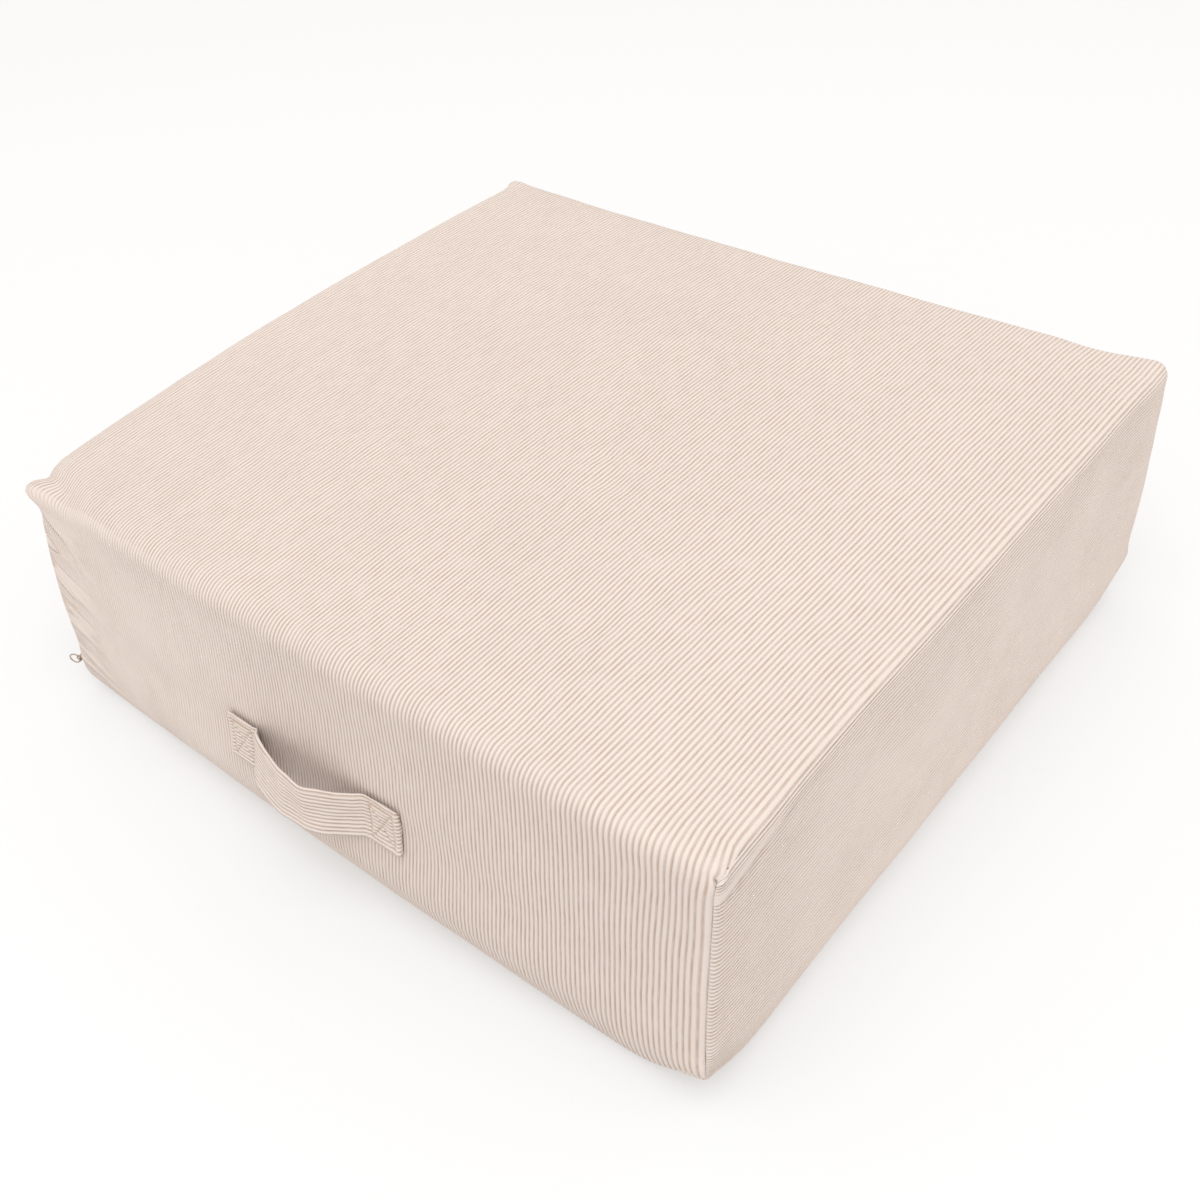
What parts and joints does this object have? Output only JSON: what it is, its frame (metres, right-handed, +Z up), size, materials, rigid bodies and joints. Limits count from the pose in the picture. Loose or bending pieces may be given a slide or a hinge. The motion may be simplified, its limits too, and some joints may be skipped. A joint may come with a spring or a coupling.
{
  "type": "jumping cushion",
  "caption": "Thick square foam cushion for jumping on, in a ribbed corduroy cover rolled over its edges, with a strap handle on one side and a low corner zip.",
  "frame": {"origin": "centre of the flat base, on the floor", "axes": "+Z up; +X along the side that carries the handle, from its zip corner to its other corner; the handle is on the -Y side"},
  "size_m": [0.6159, 0.6106, 0.2212],
  "materials": {
    "corduroy": "soft ribbed pile, wide cords",
    "zip_tape": "woven tape",
    "zip_metal": "worn nickel"
  },
  "bodies": {
    "root": {"cushion": "corduroy", "handle": "corduroy", "zip_chain": "zip_tape", "zip_slider": "zip_metal", "zip_pull": "zip_metal"}
  },
  "joints": []
}
